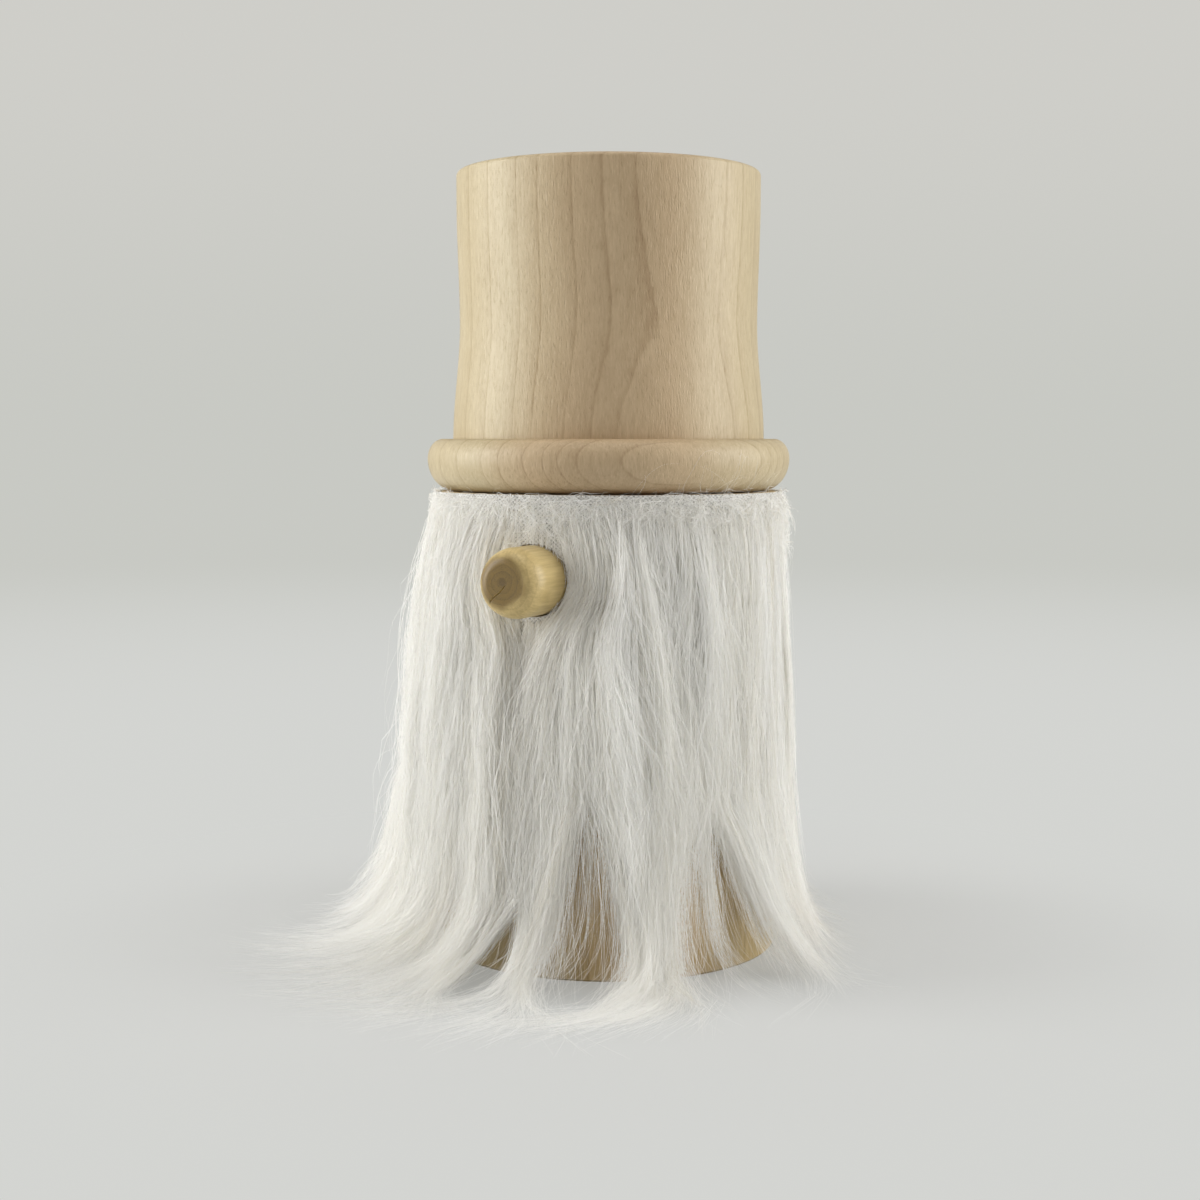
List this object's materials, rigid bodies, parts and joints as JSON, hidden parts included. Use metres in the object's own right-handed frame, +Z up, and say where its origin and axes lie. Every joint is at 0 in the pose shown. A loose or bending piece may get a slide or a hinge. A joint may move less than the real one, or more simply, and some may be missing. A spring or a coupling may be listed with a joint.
{
  "type": "wooden gnome figure",
  "caption": "Turned wooden gnome: a post with a top hat pulled down over a round dowel nose and a long white fur beard that splays on the table.",
  "frame": {"origin": "centre of the post's flat foot, on the surface that the figure stands on", "axes": "+Z up along the post's axis, -Y out along the nose, which is the gnome's front"},
  "size_m": [0.176, 0.1923, 0.2164],
  "materials": {
    "maple": "satin clear finish over pale maple, fine growth rings",
    "nose_wood": "satin olive-brown dowel, darker end grain",
    "dowel_beech": "bare fluted beech",
    "knit_backing": "white knitted backing cloth",
    "fur_pile": "long white synthetic fur pile, soft sheen"
  },
  "bodies": {
    "root": {"body_post": "maple", "hat": "maple", "hat_dowel": "dowel_beech", "nose": "nose_wood", "fur_backing": "knit_backing", "fur_lock_01": "fur_pile", "fur_lock_02": "fur_pile", "fur_lock_03": "fur_pile", "fur_lock_04": "fur_pile", "fur_lock_05": "fur_pile", "fur_lock_06": "fur_pile", "fur_lock_07": "fur_pile", "fur_lock_08": "fur_pile", "fur_lock_09": "fur_pile", "fur_lock_10": "fur_pile", "fur_lock_11": "fur_pile", "fur_lock_12": "fur_pile", "fur_lock_13": "fur_pile", "fur_lock_14": "fur_pile", "fur_lock_15": "fur_pile", "fur_lock_16": "fur_pile", "fur_lock_17": "fur_pile", "fur_lock_18": "fur_pile", "fur_lock_19": "fur_pile", "fur_lock_20": "fur_pile", "fur_lock_21": "fur_pile"}
  },
  "joints": []
}
